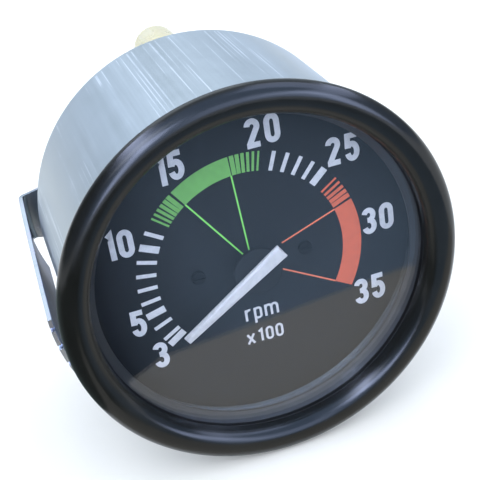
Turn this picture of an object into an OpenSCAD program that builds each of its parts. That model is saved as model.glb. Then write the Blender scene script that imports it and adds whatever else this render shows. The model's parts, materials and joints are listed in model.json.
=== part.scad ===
// Panel tachometer for a diesel engine, a 100 mm round instrument with its clamp bracket.
// The origin lies on the instrument's axis, in the rear face of the bezel, where the panel's front is.
// +Y runs back through the panel, +Z is up and +X is right as the dial is read. Millimetres.

/* [Bezel and glass] */
// How far the bezel stands out beyond the case all round
bezel_over = 4; // [3:0.1:6]
// Width of the bezel's rounded ring as the dial is read
bezel_w = 8.35; // [7:0.05:10]
// How far the widest line of the bezel lies in front of the panel
bezel_widest = 1.8; // [1.5:0.1:2.8]
// How far the rounded ring stands in front of its widest line
bezel_crown = 3.6; // [2:0.1:6]
// Thickness of the bezel's sheet steel
bezel_sheet = 0.8; // [0.5:0.1:1]
// Depth of the turned-in wall round the opening
bezel_wall = 1.35; // [0.8:0.05:3]
// Thickness of the gasket in front of the glass
gasket_t = 0.45; // [0.3:0.05:1.2]
// Thickness of the glass
glass_t = 1.6; // [1.2:0.1:2.4]
// Thickness of the rubber ring between bezel and panel
seal_t = 0.8; // [0.4:0.1:2]

/* [Case] */
// Outer diameter of the case
case_d = 100; // [92:1:130]
// Depth of the case behind the panel's front face
case_depth = 63; // [60:1:90]
// Thickness of the case's galvanized sheet
case_sheet = 0.8; // [0.6:0.1:1.2]
// Outer radius of the case's drawn rear edge
case_corner_r = 2.5; // [1.2:0.1:3]

/* [Dial] */
// Thickness of the dial plate
dial_t = 0.8; // [0.5:0.1:1.5]
// How far the edge of the mask ring stands in from the bezel's opening
mask_lip = 2.05; // [1:0.05:6]
// Depth of the mask ring's sloping wall
mask_slope = 2.6; // [1:0.1:4]
// Distance between the two dial screws
dial_screw_gap = 30.3; // [26:0.1:37]
// Diameter of the dial screws' heads
dial_screw_head_d = 3.8; // [3:0.1:5]

/* [Pointer] */
// Length of the pointer from the axis to its tip
pointer_l = 26.5; // [20:0.5:36]
// Length of the pointer's tail behind the axis
pointer_tail = 8.4; // [4:0.1:12]
// Width of the pointer at its tail
pointer_w = 4.3; // [3:0.1:6]
// Width of the pointer at its tip
pointer_tip_w = 2.3; // [1:0.1:4]
// Thickness of the pointer
pointer_t = 1.3; // [0.8:0.1:1.6]
// Height of the pointer hub's front above the dial
hub_rise = 6; // [5:0.1:9]
// Gap between the glass and the pointer
pointer_clear = 1.1; // [0.5:0.1:4]
// Diameter of the pointer hub
hub_d = 13.4; // [10:0.1:18]
// Angle of the pointer at rest, counter-clockwise from straight up as the dial is read
pointer_rest = 122.5; // [90:0.5:140]
// Angle that the pointer can turn from rest, clockwise as the dial is read
pointer_travel = 243; // [180:1:260]

/* [Movement] */
// Diameter of the spindle
spindle_d = 1.2; // [0.8:0.1:2]
// Diameter of the magnet on the spindle
magnet_d = 13.2; // [10:0.1:18]
// Length of the magnet
magnet_l = 7; // [4:0.5:9]
// Thickness of each coil's winding
winding_t = 1; // [0.6:0.1:1.3]
// Turns of the hairspring
hairspring_turns = 3; // [2:1:4]

/* [Circuit board] */
// How far the front of the circuit board stands from the case's rear face
board_room = 19; // [16:0.5:22.5]
// Thickness of the circuit board
board_t = 1.6; // [1:0.1:2.4]

/* [Clamp] */
// Nominal diameter of the two mounting studs
stud_d = 5; // [4:0.5:6]
// Distance between the mounting studs
stud_gap = 60; // [44:1:72]
// How far the studs reach behind the case
stud_reach = 35; // [33:1:50]
// Thickness of the bracket's zinc-plated strap
strap_t = 1.2; // [0.8:0.1:2]
// Width of the strap across the rear of the case
strap_w = 15; // [12:0.5:18]
// Gap between the case and the bracket's legs
leg_gap = 3.2; // [1:0.1:4]
// Width of each leg round the case
leg_w = 26; // [22:0.5:42]
// How far the legs' upper edge falls from the strap to the foot
leg_slope = 9; // [0:0.5:11]
// How far the serrated feet spread outwards
foot_flare = 1.6; // [0.5:0.1:2.5]
// Where the feet stand behind the panel's front face, as the bracket is shown
foot_y = 11.5; // [10.5:0.5:14]
// How far behind the case the strap stands, as the bracket is shown
strap_back = 10.6; // [10.4:0.1:14]
// Diameter of the knurled nuts
nut_d = 14; // [11:0.5:18]
// Height of the knurled nuts
nut_h = 8; // [5:0.5:9]

/* [Rear fittings] */
// How far the lamp holder's axis lies below the top of the case
lamp_inset = 8.2; // [8:0.1:12]
// Sideways place of the lamp holder's axis
lamp_x = -2.3; // [-8:0.1:8]
// Diameter of the lamp holder's head
lamp_head_d = 13.4; // [12:0.1:15]
// Length of the lamp holder behind the case
lamp_head_l = 16; // [10:0.5:24]
// Diameter of the lamp holder's body in the case
lamp_body_d = 10; // [9:0.5:12]
// Number of blade terminals
terminal_count = 4; // [2:1:5]
// Distance between neighbouring terminals
terminal_pitch = 9; // [7:0.5:11]
// Width of a blade terminal
blade_w = 6.3; // [4.8:0.1:8]
// Thickness of a blade terminal
blade_t = 0.8; // [0.5:0.1:1]
// How far the terminals stand below the instrument's axis
terminal_drop = 22; // [20:0.5:26]

/* [Hidden] */

// Facets of large rings, of middling and of small round pieces, and of fillets
large_fn = 180;
medium_fn = 96;
small_fn = 48;
fillet_n = 8;
// Running clearance round what turns or slides, play of what is only put together, and open gap
run_fit = 0.05;
play = 0.2;
gap = 0.3;
// Amount by which a cut passes the face it opens
over = 1;

// Radii of case, bezel and opening; what stands in the case's mouth keeps inner_r
case_r = case_d / 2;
bore_r = case_r - case_sheet;
inner_r = bore_r - gap;
bezel_r = case_r + bezel_over;
opening_r = bezel_r - bezel_w;
// Radius of the bezel's rolled rear edge, the case's rim inside it and the seal's share of the step
roll_r = bezel_widest - 0.2;
rim_r = bezel_r - roll_r - play;
seal_share = 0.45;

// Places along Y of what is stacked behind the bezel
lip_front_y = -bezel_sheet;
rim_front_y = lip_front_y - case_sheet;
gasket_y = -bezel_widest + bezel_wall;
glass_y = gasket_y + gasket_t;
mask_y = glass_y + glass_t;
hub_y = mask_y + pointer_clear + pointer_t;
dial_y = hub_y + hub_rise;
frame_y = dial_y + dial_t;
case_in_y = case_depth - case_sheet;

// Light ring behind the mask, and the pipe that brings it the lamp's light
mask_skirt_t = 1;
mask_t = 0.6;
mask_front_t = 1;
mask_rebate = 0.1;
light_r = inner_r - mask_skirt_t - play;
light_w = 2.3;
light_y = mask_y + mask_slope + 2 * mask_t;
light_back = dial_y - gap;
pipe_w = 8;
pipe_t = 2;
pipe_r = light_r - play;
lamp_in_y = case_in_y - 7;
bulb_r = 4.2;
bulb_y = lamp_in_y - gap - over;
pipe_end_y = bulb_y - bulb_r - over;

// Pointer and hub, in front of the dial; what is pressed on the spindle keeps the press gap
hub_l = 3.8;
hub_edge = 0.5;
hub_wall = 1;
hub_web = 1.4;
boss_r = 2.2;
boss_gap = 0.8;
press = 0.01;
ridge_w = 0.5;
ridge_shift = 0.28;
ridge_share = 0.45;
ridge_end = 0.3;

// Dial screws
dial_screw_r = 1;
dial_screw_h = 1.1;
dial_screw_round = 0.5;
spacer_wall = 1.4;

// Movement, behind the dial
spindle_r = spindle_d / 2;
spindle_y = hub_y + over;
can_y = frame_y + 2.2;
can_sheet = 0.8;
can_r = dial_screw_gap / 2 + 2.85;
can_front_y = can_y + can_sheet;
can_hole_r = 3.2;
chamber_gap = 1;
chamber_r = magnet_d / 2 + chamber_gap;
chamber_l = magnet_l + 2 * chamber_gap;
bush_r = 1.9;
bush_l = 2;
former_wall = 0.9;
former_r = can_r - can_sheet - 4.7;
former_l = magnet_l + 2 * (chamber_gap + bush_l + former_wall);
former_y = can_front_y + gap + 2 * (winding_t + play) + play;
former_end = former_y + former_l;
former_mid = (former_y + former_end) / 2;
coil_w = 4;
coil_in = spindle_r + 0.7;
inner_coil_r = former_r + play;
outer_coil_r = inner_coil_r + winding_t + play;
can_end_y = former_end + play + 2 * (winding_t + play) + gap;
plate_t = 1.2;
plate_end = can_end_y + plate_t;
plate_hole_r = spindle_r + 0.8;
arm_y = plate_end + 0.6;
arm_t = 1;
arm_l = 9;
arm_w = 1.6;
arm_boss_r = 2;
collet_y = arm_y + arm_t;
collet_t = 1.6;
collet_r = 1.5;
spindle_end = collet_y + collet_t + 0.4;
hairspring_y = collet_y + 0.4;
hairspring_w = 0.8;
hairspring_t = 0.18;
hairspring_in = collet_r + gap;
hairspring_out = 6;
hairspring_n = 36;
spring_stud_r = 0.8;
stop_pin_r = 0.6;
stop_pin_at = 8;
stop_half = asin((stop_pin_r + arm_w / 2 + gap) / stop_pin_at);
pin_proud = 0.6;
post_r = 2;
post_at = can_r - 3.5;
post_angles = [0, 120, 240];

// Circuit board, inner frame and what holds them
board_r = inner_r - 3;
board_y = case_depth - board_room;
board_end = board_y + board_t;
frame_ring_w = 4.4;
frame_ring_l = 3;
leg_angles = [60, 180, 300];
leg_span = 12;
leg_t = 2.6;
pad_l = 8;
pad_in = inner_r - 9.4;
pad_out = case_r - case_corner_r - press;
pad_span = 15;
ledge_l = 2.4;
ledge_span = 10;
ledge_in = inner_r - 6.4;
case_screw_at = inner_r - 5.5;
case_screw_r = 1.5;
case_screw_head_r = 2.8;
case_screw_head_h = 1.8;
case_screw_round = 1.2;
case_screw_l = 9;

// Parts on the board: [x, z] of the chip's corner, and [x, z, radius, height] of each capacitor
chip_at = [-24, 8];
chip_size = [20, 3.5, 6.5];
chip_lift = 0.5;
lead_n = 8;
lead_pitch = 2.54;
lead_start = 1;
lead_w = 0.6;
lead_t = 0.4;
lead_h = 2;
capacitor_list = [[16, 18, 5, 12], [6, 24, 3.2, 8], [-28, -6, 3.2, 8]];
resistor_at = [-20, -6];
resistor_r = 2.8;
resistor_l = 16;
resistor_lift = 0.4;

// Terminals
block_w = terminal_count * terminal_pitch + 2;
block_h = blade_w + 6.5;
block_lip = 2;
block_proud = 2;
block_deep = 6;
block_fit = 0.05;
blade_reach = 12;
blade_hole_r = 0.85;
blade_hole_at = 4;
blade_tail_w = 3.2;
blade_step = 2;
blade_point = 1.4;

// Adjusting screw, beside the terminals
trimmer_x = block_w / 2 + block_lip + 5;
trimmer_z = -24;
trimmer_w = 9;
trimmer_l = 5;
trimmer_floor = 1;
trimmer_r = 2.4;
trimmer_proud = 0.6;
slot_w = 0.9;
slot_deep = 1.2;

// Clamp bracket and nuts
stud_r = stud_d / 2;
stud_end = case_depth + stud_reach;
strap_y = case_depth + strap_back;
strap_end = strap_y + strap_t;
strap_hole_r = stud_r + 0.4;
leg_in = case_r + leg_gap;
leg_out = leg_in + strap_t;
leg_mid = (leg_in + leg_out) / 2;
bend_r = 1.6;
tooth_n = 3;
tooth_gap = 1.2;
tooth_deep = 1.8;
washer_t = 1.2;
washer_in = stud_r + play;
washer_out = stud_r + 2.1;
washer_slit = 0.8;
nut_y = strap_end + washer_t + gap;
nut_end = nut_y + nut_h;
nut_collar_h = 2;
nut_collar_r = stud_r + 2.5;
nut_edge = 0.5;
nut_bore_r = stud_r + run_fit;
knurl_n = 36;
knurl_deep = 0.55;
stud_head_r = stud_r + 2;
stud_head_h = 2;
stud_chamfer = 0.6;
strap_swell = 2.5;
strap_swell_l = 9;

// Lamp holder
lamp_z = case_r - lamp_inset;
lamp_r = lamp_body_d / 2;
lamp_head_r = lamp_head_d / 2;
lamp_neck_l = 2.4;
lamp_neck_r = (lamp_r + lamp_head_r) / 2;
lamp_end_y = case_depth + lamp_head_l;
lamp_round = 1.8;
lamp_edge = 1;
lamp_well_r = 4.4;
lamp_well_l = 9;
socket_r = 2.6;
contact_w = 2.8;
contact_t = 0.5;
contact_l = 5;
contact_root = 3;
contact_at = 2.6;
bulb_base_r = 2.5;
bulb_base_y = case_in_y - 1.4;

// Turns a shape drawn as (radius, Y) round the instrument's axis
module spun(angle = 360, start = 0, fn = large_fn)
    rotate([-90, 0, 0]) rotate([0, 0, start - 90]) rotate_extrude(angle = angle, $fn = fn) children();

// A round bar along Y from y0 to y1 at the place (x, z)
module bar_y(r, y0, y1, x = 0, z = 0, fn = small_fn)
    translate([x, y0, z]) rotate([-90, 0, 0]) cylinder(r = r, h = y1 - y0, $fn = fn);

// A shape drawn as the front is seen, x right and y up, standing from y0 back to y1
module seen_from_front(y0, y1)
    translate([0, y1, 0]) rotate([90, 0, 0]) linear_extrude(y1 - y0) children();

// A box between two corners
module box(low, high)
    translate(low) cube(high - low);

// Points on a quarter or a half of an ellipse, from angle a0 to a1, in the (radius, Y) plane
function oval(centre, a, b, a0, a1, n) =
    [for (i = [0:n]) let (t = a0 + (a1 - a0) * i / n) [centre[0] + a * cos(t), centre[1] + b * sin(t)]];

// Turns its children to the clockwise angle a from straight up, as the dial is read
module clockwise(a)
    rotate([0, a, 0]) children();

// Pressed ring of painted steel: rounded front, wall round the opening, lip rolled behind the rim
module bezel_ring() {
    half = bezel_w / 2;
    lip_in = case_r + gap;
    centre = [opening_r + half, -bezel_widest];
    roll_at = [bezel_r - roll_r, -roll_r];
    roll_in = roll_r - bezel_sheet;
    outer = concat([[lip_in, 0]],
        oval(roll_at, roll_r, roll_r, 90, 0, fillet_n),
        oval(centre, half, bezel_crown, 0, -180, 4 * fillet_n),
        [[opening_r, gasket_y]]);
    inner = concat([[opening_r + bezel_sheet, gasket_y]],
        oval(centre, half - bezel_sheet, bezel_crown - bezel_sheet, -180, 0, 4 * fillet_n),
        oval(roll_at, roll_in, roll_in, 0, 90, fillet_n),
        [[lip_in, lip_front_y]]);
    color("#24262b") spun() polygon(concat(outer, inner));
}

// Rubber ring that lies between the bezel and the panel
module panel_seal() {
    seal_in = case_r + play;
    seal_out = case_r + bezel_over * seal_share;
    color("#17181a") spun() polygon([
        [seal_in, 0], [seal_out, 0], [seal_out - play, seal_t], [seal_in, seal_t]]);
}

// Flat glass
module glass_disc()
    color("lightcyan", 0.35) bar_y(inner_r, glass_y, glass_y + glass_t, fn = large_fn);

// Rubber gasket between the bezel's wall and the glass
module glass_gasket()
    color("#101113") spun() polygon([
        [opening_r + play, gasket_y], [inner_r, gasket_y],
        [inner_r, glass_y], [opening_r + play, glass_y]]);

// Black ring with a sloping wall that hides the light ring, and a skirt that stands on the dial
module mask_ring() {
    edge = opening_r - mask_lip;
    top = opening_r - mask_rebate;
    skirt = inner_r - mask_skirt_t;
    slope_end = mask_y + mask_slope;
    color("#1b1c1f") spun() polygon([
        [top, mask_y], [inner_r, mask_y], [inner_r, dial_y], [skirt, dial_y],
        [skirt, mask_y + mask_front_t], [top + mask_t, mask_y + mask_front_t],
        [edge + mask_t, slope_end + mask_t], [edge, slope_end + mask_t], [edge, slope_end]]);
}

// Clear ring that spreads the lamp's light over the dial, with its light pipe
module light_ring() {
    light_in = light_r - light_w;
    bevel = light_w / 4;
    color("#d8e6ea", 0.6) {
        spun() polygon([
            [light_in + bevel, light_y], [light_r, light_y],
            [light_r, light_back], [light_in, light_back], [light_in, light_y + bevel]]);
        box([lamp_x - pipe_w / 2, light_back - over, pipe_r - pipe_t],
            [lamp_x + pipe_w / 2, pipe_end_y, pipe_r - 2 * play]);
    }
}

// Cuts the way of the light pipe through a piece
module pipe_cut(y0, y1)
    box([lamp_x - pipe_w / 2 - play, y0, pipe_r - pipe_t - play], [lamp_x + pipe_w / 2 + play, y1, case_r]);

// Round sheet that carries the scale
module dial_plate()
    color("#2c3036") difference() {
        bar_y(inner_r, dial_y, frame_y, fn = large_fn);
        bar_y(boss_r + 2 * gap, dial_y - over, frame_y + over);
        for (side = [-1, 1])
            bar_y(dial_screw_r + play, dial_y - over, frame_y + over, side * dial_screw_gap / 2);
        pipe_cut(dial_y - over, frame_y + over);
    }

// Two small black screws through the dial into the movement's can
module dial_screws() {
    head_r = dial_screw_head_d / 2;
    head_y = dial_y - dial_screw_h;
    edge = dial_screw_round;
    color("#131417") for (side = [-1, 1])
        translate([side * dial_screw_gap / 2, 0, 0]) difference() {
            union() {
                spun(fn = small_fn) polygon(concat(
                    [[0, dial_y], [head_r, dial_y]],
                    oval([head_r - edge, head_y + edge], edge, edge, 0, -90, fillet_n),
                    [[0, head_y]]));
                bar_y(dial_screw_r, dial_y, can_front_y + can_sheet);
            }
            translate([0, head_y, 0])
                cube([dial_screw_head_d + over, dial_screw_h, slot_w - gap], center = true);
        }
}

// White tapered bar with a ridge near one edge
module pointer()
    color("#dfe4ee") clockwise(-pointer_rest) hull() {
        seen_from_front(hub_y - pointer_t * ridge_share, hub_y) polygon([
            [-pointer_w / 2, -pointer_tail], [pointer_w / 2, -pointer_tail],
            [pointer_tip_w / 2, pointer_l], [-pointer_tip_w / 2, pointer_l]]);
        seen_from_front(hub_y - pointer_t, hub_y) polygon([
            [pointer_w * ridge_shift - ridge_w / 2, -pointer_tail + ridge_end],
            [pointer_w * ridge_shift + ridge_w / 2, -pointer_tail + ridge_end],
            [pointer_tip_w * ridge_shift + ridge_w / 2, pointer_l - ridge_end],
            [pointer_tip_w * ridge_shift - ridge_w / 2, pointer_l - ridge_end]]);
    }

// Black cap under the pointer, pressed on the spindle
module pointer_hub() {
    hub_r = hub_d / 2;
    skirt = hub_r - hub_wall;
    web_y = hub_y + hub_web;
    boss_y = dial_y - boss_gap;
    color("#17181b") difference() {
        spun(fn = medium_fn) polygon(concat(
            [[0, hub_y]],
            oval([hub_r - hub_edge, hub_y + hub_edge], hub_edge, hub_edge, -90, 0, fillet_n),
            [[hub_r, hub_y + hub_l], [skirt, hub_y + hub_l], [skirt, web_y],
            [boss_r, web_y], [boss_r, boss_y], [0, boss_y]]));
        bar_y(spindle_r + press, spindle_y, dial_y + over);
    }
}

// Steel spindle that carries the hub, the magnet, the arm and the collet
module spindle()
    color("#c9ccd2") bar_y(spindle_r, spindle_y, spindle_end);

// Magnet that the two coils turn
module rotor_magnet()
    color("#3f4247") difference() {
        bar_y(magnet_d / 2, former_mid - magnet_l / 2, former_mid + magnet_l / 2, fn = medium_fn);
        bar_y(spindle_r + press, former_mid - magnet_l, former_mid + magnet_l);
    }

// Arm on the spindle that meets the two stop pins; at rest it points straight down
module stop_arm()
    color("#b98a3c") difference() {
        union() {
            bar_y(arm_boss_r, arm_y, arm_y + arm_t);
            box([-arm_w / 2, arm_y, -arm_l], [arm_w / 2, arm_y + arm_t, 0]);
        }
        bar_y(spindle_r + press, arm_y - over, arm_y + arm_t + over);
    }

// Brass collet that holds the inner end of the hairspring
module spring_collet()
    color("#c9a24a") difference() {
        bar_y(collet_r, collet_y, collet_y + collet_t);
        bar_y(spindle_r + press, collet_y - over, collet_y + collet_t + over);
    }

// Flat spiral that brings the pointer back, one ribbon from the collet to its stud
module hairspring() {
    steps = hairspring_turns * hairspring_n;
    growth = (hairspring_out - hairspring_in) / steps;
    function at(i, side) = let (
        r = hairspring_in + growth * i + side * hairspring_t / 2,
        t = i * 360 / hairspring_n)
        [r * cos(t), r * sin(t)];
    color("#7d8288") seen_from_front(hairspring_y, hairspring_y + hairspring_w) polygon(concat(
        [for (i = [0:steps]) at(i, 1)],
        [for (i = [steps:-1:0]) at(i, -1)]));
}

// Post that holds the outer end of the hairspring
module spring_stud()
    color("#c9a24a") bar_y(spring_stud_r, plate_end, hairspring_y + hairspring_w + play,
        hairspring_out + spring_stud_r + hairspring_t / 2);

// Two pins that end the pointer's travel, one at each end
module stop_pins()
    color("#c9ccd2") for (a = [180 - stop_half, 180 + pointer_travel + stop_half])
        clockwise(a) bar_y(stop_pin_r, plate_end, arm_y + arm_t + pin_proud, 0, stop_pin_at);

// One half of the coil former, with the chamber for the magnet and a seat for the bush
module former_half(y0, y1, bush_y)
    color("#e4dfcf") difference() {
        bar_y(former_r, y0, y1, fn = medium_fn);
        bar_y(chamber_r, former_mid - chamber_l / 2, former_mid + chamber_l / 2, fn = medium_fn);
        bar_y(bush_r, bush_y - over, bush_y + bush_l + over);
    }

module front_former()
    former_half(former_y, former_mid, former_y);

module rear_former()
    former_half(former_mid, former_end, former_end - bush_l);

// Two bushes that the spindle runs in
module spindle_bushes()
    color("#b5873b") for (y0 = [former_y, former_end - bush_l])
        difference() {
            bar_y(bush_r, y0, y0 + bush_l);
            bar_y(spindle_r + run_fit, y0 - over, y0 + bush_l + over);
        }

// A winding of two flat loops, one on each side of the spindle; r and y0, y1 bound its inner window
module winding(r, y0, y1)
    color("#b4632e") for (side = [-1, 1])
        translate([0, 0, side * (coil_in + coil_w / 2)])
            linear_extrude(coil_w, center = true) difference() {
                translate([-r - winding_t, y0 - winding_t])
                    square([2 * (r + winding_t), y1 - y0 + 2 * winding_t]);
                translate([-r, y0]) square([2 * r, y1 - y0]);
            }

module inner_coil()
    winding(inner_coil_r, former_y - play, former_end + play);

// The outer winding crosses the inner one at a right angle
module outer_coil() {
    lap = winding_t + 2 * play;
    rotate([0, 90, 0]) winding(outer_coil_r, former_y - lap, former_end + lap);
}

// Steel can that keeps stray fields from the magnet
module shield_can()
    color("#a9adb3") difference() {
        bar_y(can_r, can_y, can_end_y, fn = medium_fn);
        bar_y(can_r - can_sheet, can_front_y, can_end_y + over, fn = medium_fn);
        bar_y(can_hole_r, can_y - over, can_front_y + over);
        for (side = [-1, 1])
            bar_y(dial_screw_r + press, can_y - over, can_front_y + over, side * dial_screw_gap / 2);
    }

// Spacers round the dial screws, between the dial and the can
module dial_spacers()
    color("#c9ccd2") for (side = [-1, 1])
        difference() {
            bar_y(dial_screw_r + spacer_wall, frame_y, can_y, side * dial_screw_gap / 2);
            bar_y(dial_screw_r + play, frame_y - over, can_y + over, side * dial_screw_gap / 2);
        }

// Brass plate that closes the can and carries the stop pins and the hairspring's stud
module movement_plate()
    color("#c19a48") difference() {
        bar_y(can_r, can_end_y, plate_end, fn = medium_fn);
        bar_y(plate_hole_r, can_end_y - over, plate_end + over);
    }

// Three posts between the movement and the circuit board
module board_posts()
    color("#c9ccd2") for (a = post_angles)
        clockwise(a) bar_y(post_r, plate_end, board_y, 0, post_at);

// Moulded frame: a ring behind the dial and three legs, each with a ledge behind the circuit board
// and a pad on the case's rear wall that takes a screw
module inner_frame()
    color("#d9d6cb") difference() {
        union() {
            spun() polygon([[inner_r - frame_ring_w, frame_y], [inner_r, frame_y],
                [inner_r, frame_y + frame_ring_l], [inner_r - frame_ring_w, frame_y + frame_ring_l]]);
            for (a = leg_angles) {
                frame_arc(a, leg_span, inner_r - leg_t, inner_r - play, frame_y + over, case_in_y - over);
                frame_arc(a, ledge_span, ledge_in, inner_r - leg_t / 2, board_end, board_end + ledge_l);
                frame_arc(a, pad_span, pad_in, pad_out, case_in_y - pad_l, case_in_y);
            }
        }
        for (a = leg_angles)
            clockwise(a) bar_y(case_screw_r + press, case_in_y - pad_l - over, case_depth, 0, case_screw_at);
        pipe_cut(frame_y - over, frame_y + frame_ring_l + over);
    }

// Arc of the inner frame whose middle lies at the clockwise angle a
module frame_arc(a, span, r0, r1, y0, y1)
    spun(span, a - span / 2) polygon([[r0, y0], [r1, y0], [r1, y1], [r0, y1]]);

// Round circuit board, notched for the light pipe
module circuit_board()
    color("#3f6b46") difference() {
        bar_y(board_r, board_y, board_end, fn = large_fn);
        pipe_cut(board_y - over, board_end + over);
    }

// Control circuit in its moulded body, with its two rows of legs
module control_chip()
    color("#26282b") translate([chip_at[0], board_end, chip_at[1]]) {
        translate([0, chip_lift, 0]) cube(chip_size);
        for (i = [0:lead_n - 1], z = [-lead_t, chip_size[2]])
            translate([lead_start + i * lead_pitch, 0, z]) cube([lead_w, lead_h, lead_t]);
    }

// Three capacitors of two sizes
module capacitors()
    color("#35507a") for (c = capacitor_list)
        bar_y(c[2], board_end, board_end + c[3], c[0], c[1]);

// Resistor that drops the supply voltage
module power_resistor()
    color("#9c8f78") translate([resistor_at[0], board_end + resistor_lift + resistor_r, resistor_at[1]])
        rotate([0, 90, 0]) cylinder(r = resistor_r, h = resistor_l, $fn = small_fn);

// Body of the adjuster on the circuit board
module trimmer_body()
    color("#2f5fa0") difference() {
        box([trimmer_x - trimmer_w / 2, board_end, trimmer_z - trimmer_w / 2],
            [trimmer_x + trimmer_w / 2, board_end + trimmer_l, trimmer_z + trimmer_w / 2]);
        bar_y(trimmer_r + run_fit, board_end + trimmer_floor, board_end + trimmer_l + over,
            trimmer_x, trimmer_z);
    }

// Shaft of the adjuster, which reaches the rear wall and takes a screwdriver
module trimmer_screw()
    color("#e7e3d5") difference() {
        bar_y(trimmer_r, board_end + trimmer_floor + gap, case_depth + trimmer_proud, trimmer_x, trimmer_z);
        translate([trimmer_x, case_depth + trimmer_proud, trimmer_z])
            cube([2 * trimmer_r + over, 2 * slot_deep, slot_w], center = true);
    }

// Sideways place of terminal i
function terminal_at(i) = (i - (terminal_count - 1) / 2) * terminal_pitch;

// Moulded block that holds the blade terminals in the rear wall
module terminal_block()
    color("#1d1e20") difference() {
        union() {
            block_part(block_lip, case_depth, case_depth + block_proud);
            block_part(0, case_in_y - block_deep, case_depth + over);
        }
        for (i = [0:terminal_count - 1])
            translate([terminal_at(i), case_depth, -terminal_drop])
                cube([blade_t, case_depth, blade_w], center = true);
    }

// Part of the terminal block from y0 to y1, wider than its body by the edge all round
module block_part(edge, y0, y1)
    box([-block_w / 2 - edge, y0, -terminal_drop - block_h / 2 + block_lip - edge],
        [block_w / 2 + edge, y1, -terminal_drop + block_h / 2 - block_lip + edge]);

// Tinned blade terminals with pointed ends and a latch hole
module terminal_blades() {
    tip = case_depth + block_proud + blade_reach;
    shoulder = case_in_y - block_deep;
    tail = blade_tail_w / 2;
    half = blade_w / 2;
    color("#d3d6da") for (i = [0:terminal_count - 1])
        translate([terminal_at(i) - blade_t / 2, 0, -terminal_drop])
            rotate([90, 0, 90]) linear_extrude(blade_t) difference() {
                polygon([
                    [board_end, -tail], [shoulder - blade_step, -tail], [shoulder, -half],
                    [tip - blade_point, -half], [tip, blade_point - half], [tip, half - blade_point],
                    [tip - blade_point, half], [shoulder, half], [shoulder - blade_step, tail],
                    [board_end, tail]]);
                translate([tip - blade_hole_at, 0]) circle(r = blade_hole_r, $fn = small_fn);
            }
}

// Drawn cup of galvanized steel with a turned-out rim, and its holes in the rear wall
module case_cup() {
    corner = [case_r - case_corner_r, case_depth - case_corner_r];
    inner_corner_r = case_corner_r - case_sheet;
    color("#b8c8d8") difference() {
        spun() polygon(concat(
            [[0, case_depth]],
            oval(corner, case_corner_r, case_corner_r, 90, 0, fillet_n),
            [[case_r, lip_front_y], [rim_r, lip_front_y], [rim_r, rim_front_y], [bore_r, rim_front_y]],
            oval(corner, inner_corner_r, inner_corner_r, 0, 90, fillet_n),
            [[0, case_in_y]]));
        for (side = [-1, 1])
            bar_y(stud_r + press, case_in_y - over, case_depth + over, side * stud_gap / 2);
        for (a = leg_angles)
            clockwise(a) bar_y(case_screw_r + play, case_in_y - over, case_depth + over, 0, case_screw_at);
        bar_y(lamp_r + play, case_in_y - over, case_depth + over, lamp_x, lamp_z);
        bar_y(trimmer_r + run_fit, case_in_y - over, case_depth + over, trimmer_x, trimmer_z);
        block_part(block_fit, case_in_y - over, case_depth + over);
    }
}

// Three round-head screws that hold the inner frame to the rear wall
module case_screws() {
    head_y = case_depth + case_screw_head_h;
    edge = case_screw_round;
    color("#c8ccd0") for (a = leg_angles)
        clockwise(a) translate([0, 0, case_screw_at]) difference() {
            union() {
                bar_y(case_screw_r, case_depth - case_screw_l, case_depth);
                spun(fn = small_fn) polygon(concat(
                    [[0, case_depth], [case_screw_head_r, case_depth]],
                    oval([case_screw_head_r - edge, head_y - edge], edge, edge, 0, 90, fillet_n),
                    [[0, head_y]]));
            }
            translate([0, head_y, 0])
                cube([2 * case_screw_head_r + over, case_screw_head_h, slot_w], center = true);
        }
}

// Two studs whose heads lie inside the rear wall
module mounting_studs()
    color("#c4c8cc") for (side = [-1, 1]) {
        bar_y(stud_head_r, case_in_y - stud_head_h, case_in_y, side * stud_gap / 2);
        translate([side * stud_gap / 2, 0, 0]) spun(fn = small_fn) polygon([
            [0, case_in_y], [stud_r, case_in_y], [stud_r, stud_end - stud_chamfer],
            [stud_r - stud_chamfer, stud_end], [0, stud_end]]);
    }

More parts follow.
